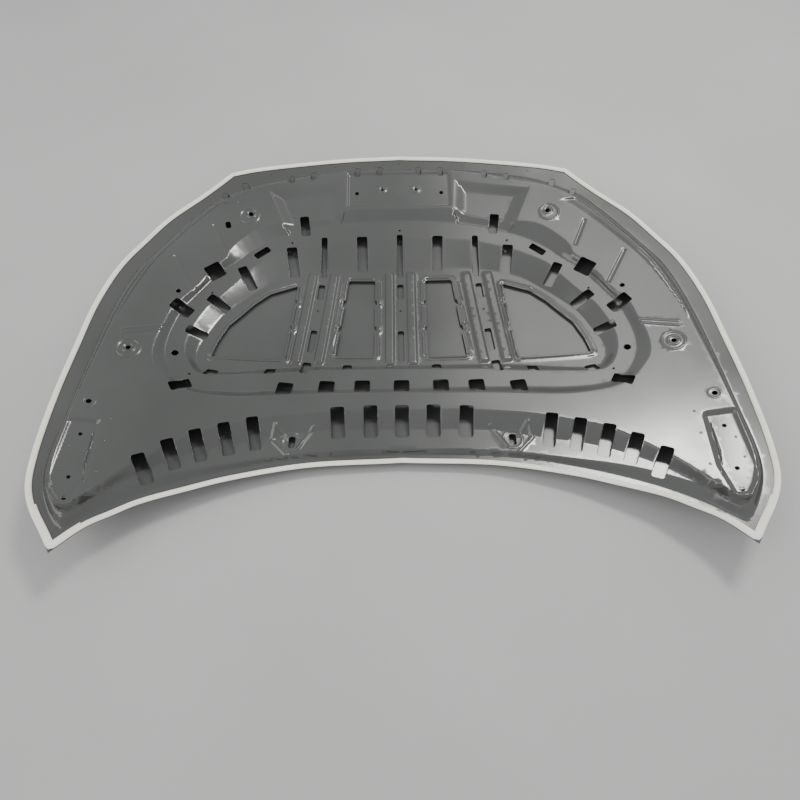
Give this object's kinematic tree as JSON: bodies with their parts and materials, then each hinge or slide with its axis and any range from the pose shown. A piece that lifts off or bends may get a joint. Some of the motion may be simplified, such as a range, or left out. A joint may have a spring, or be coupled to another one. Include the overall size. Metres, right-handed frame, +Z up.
{
  "type": "car bonnet",
  "caption": "Car bonnet of crowned outer skin and stamped inner panel with ribs, windows and slots, hemmed and sealed all round, inner side up.",
  "frame": {"origin": "under the middle of the bonnet, on the surface that its outer skin lies on", "axes": "+X to the right seen from the rear edge, +Y towards the front edge, +Z up, out of the inner panel"},
  "size_m": [1.5702, 1.192, 0.1408],
  "materials": {
    "coated_sheet": "grey electrocoat primer, semi-gloss",
    "hem_sealer": "cream sealer bead, matt",
    "weld_nut": "coated steel nut",
    "mastic": "black anti-flutter mastic"
  },
  "bodies": {
    "root": {"hem_sealer_corner_left": "hem_sealer", "hem_sealer_corner_right": "hem_sealer", "hem_sealer_front": "hem_sealer", "hem_sealer_left": "hem_sealer", "hem_sealer_rear": "hem_sealer", "hem_sealer_right": "hem_sealer", "hinge_nut_left_front": "weld_nut", "hinge_nut_left_rear": "weld_nut", "hinge_nut_right_front": "weld_nut", "hinge_nut_right_rear": "weld_nut", "hinge_reinforcement_left": "coated_sheet", "hinge_reinforcement_right": "coated_sheet", "inner_panel": "coated_sheet", "mastic_dab_left_1": "mastic", "mastic_dab_left_2": "mastic", "mastic_dab_left_3": "mastic", "mastic_dab_left_4": "mastic", "mastic_dab_left_5": "mastic", "mastic_dab_left_6": "mastic", "mastic_dab_left_7": "mastic", "mastic_dab_middle_1": "mastic", "mastic_dab_middle_2": "mastic", "mastic_dab_right_1": "mastic", "mastic_dab_right_2": "mastic", "mastic_dab_right_3": "mastic", "mastic_dab_right_4": "mastic", "mastic_dab_right_5": "mastic", "mastic_dab_right_6": "mastic", "mastic_dab_right_7": "mastic", "outer_skin": "coated_sheet", "striker_nut_left": "weld_nut", "striker_nut_right": "weld_nut", "striker_reinforcement": "coated_sheet"}
  },
  "joints": []
}
